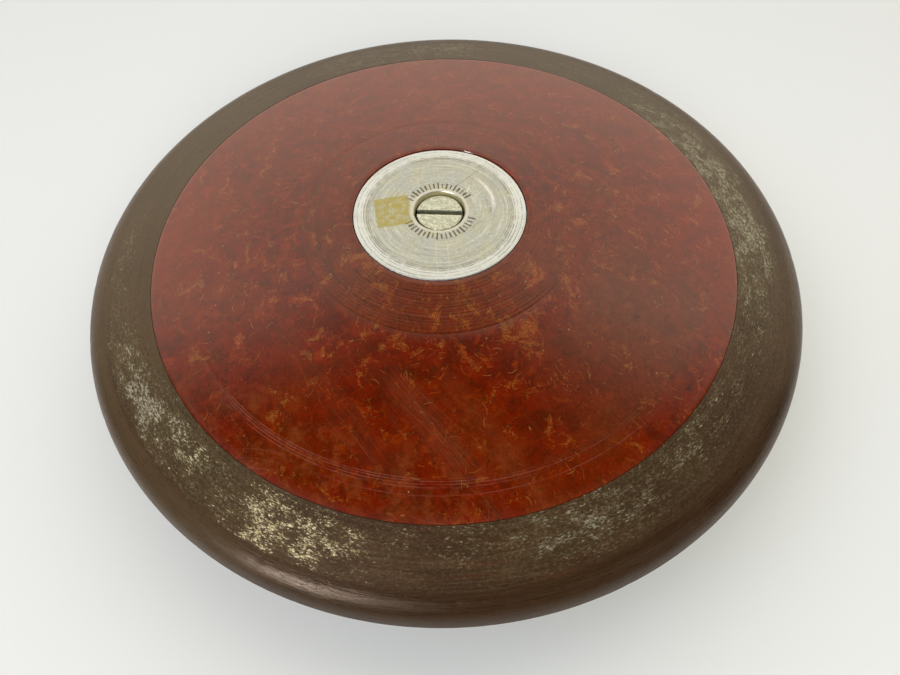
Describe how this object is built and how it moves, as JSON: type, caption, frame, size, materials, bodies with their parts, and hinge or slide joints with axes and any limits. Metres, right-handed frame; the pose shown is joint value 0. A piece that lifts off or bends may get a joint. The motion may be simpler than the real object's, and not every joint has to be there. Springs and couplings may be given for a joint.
{
  "type": "throwing discus",
  "caption": "Throwing discus: steel rim, red moulded sides, metal centre plates held by recessed slotted screws.",
  "frame": {"origin": "middle of the lower centre plate's flat face, on the disc's axis", "axes": "+Z along the disc's axis from the lower face to the upper face; +X and +Y in the plane of the disc"},
  "size_m": [0.2206, 0.2206, 0.045],
  "materials": {
    "rim_steel": "satin",
    "red_composition": "gloss",
    "plate_metal": "satin",
    "screw_steel": "matte",
    "bright_steel": "satin",
    "spacer_wood": "matte",
    "packing_felt": "matte"
  },
  "bodies": {
    "root": {"rim": "rim_steel", "upper_side": "red_composition", "lower_side": "red_composition", "upper_centre_plate": "plate_metal", "lower_centre_plate": "plate_metal", "centre_sleeve": "bright_steel", "core_spacer": "spacer_wood", "trim_weight_1": "bright_steel", "trim_weight_2": "bright_steel", "trim_weight_3": "bright_steel", "trim_weight_4": "bright_steel", "upper_packing_ring": "packing_felt", "lower_packing_ring": "packing_felt", "rim_dowel_1": "bright_steel", "rim_dowel_2": "bright_steel", "rim_dowel_3": "bright_steel", "rim_dowel_4": "bright_steel", "rim_dowel_5": "bright_steel", "rim_dowel_6": "bright_steel"},
    "upper_washer": {"upper_screw_washer": "bright_steel"},
    "upper_screw": {"upper_centre_screw": "screw_steel"},
    "lower_washer": {"lower_screw_washer": "bright_steel"},
    "lower_screw": {"lower_centre_screw": "screw_steel"}
  },
  "joints": [
    {"name": "upper_screw_lift", "type": "slide", "parent": "root", "child": "upper_washer", "axis": [0, 0, 1], "range_m": [0, 0.01219]},
    {"name": "upper_screw_turn", "type": "hinge", "parent": "upper_washer", "child": "upper_screw", "pos_m": [0, 0, 0.0436], "axis": [0, 0, 1], "range_deg": [0, 3510.1]},
    {"name": "lower_screw_lift", "type": "slide", "parent": "root", "child": "lower_washer", "axis": [0, 0, -1], "range_m": [0, 0.01219]},
    {"name": "lower_screw_turn", "type": "hinge", "parent": "lower_washer", "child": "lower_screw", "pos_m": [0, 0, 0.0014], "axis": [0, 0, -1], "range_deg": [0, 3510.1]}
  ],
  "couplings": [
    {"joint": "upper_screw_turn", "follows": "upper_screw_lift", "rad_per_m": 5026.5},
    {"joint": "lower_screw_turn", "follows": "lower_screw_lift", "rad_per_m": 5026.5}
  ]
}
